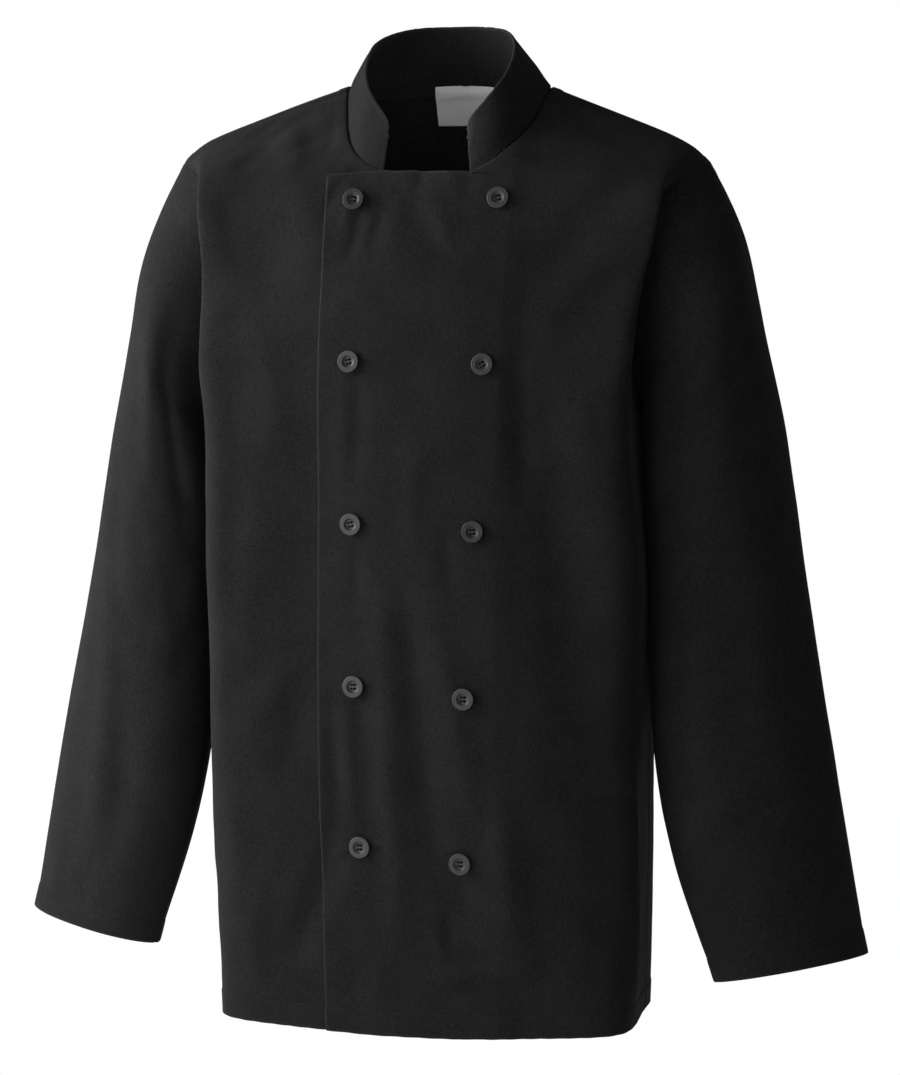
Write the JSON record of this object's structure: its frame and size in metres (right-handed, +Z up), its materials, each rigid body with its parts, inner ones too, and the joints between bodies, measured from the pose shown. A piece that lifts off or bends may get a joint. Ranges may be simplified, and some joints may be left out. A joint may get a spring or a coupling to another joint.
{
  "type": "long-sleeved double-breasted chef jacket",
  "caption": "Hollow, long-sleeved, double-breasted jacket with a stand collar and two columns of buttons, in the shape it has when worn.",
  "frame": {"origin": "middle of the neck, level with the two points where the shoulder seams meet the collar: where the wearer's neck and shoulders hold the jacket", "axes": "+X to the wearer's left, -Y out of the jacket's front, +Z up towards the collar"},
  "size_m": [0.718, 0.2248, 0.823],
  "materials": {
    "black_cloth": "matt twill",
    "button_plastic": "satin",
    "label_cloth": "woven satin"
  },
  "bodies": {
    "root": {"front_left": "black_cloth", "front_right": "black_cloth", "back": "black_cloth", "sleeve_left": "black_cloth", "sleeve_right": "black_cloth", "collar": "black_cloth", "neck_label": "label_cloth", "button_left_1": "button_plastic", "button_left_2": "button_plastic", "button_left_3": "button_plastic", "button_left_4": "button_plastic", "button_left_5": "button_plastic", "button_right_1": "button_plastic", "button_right_2": "button_plastic", "button_right_3": "button_plastic", "button_right_4": "button_plastic", "button_right_5": "button_plastic"}
  },
  "joints": []
}
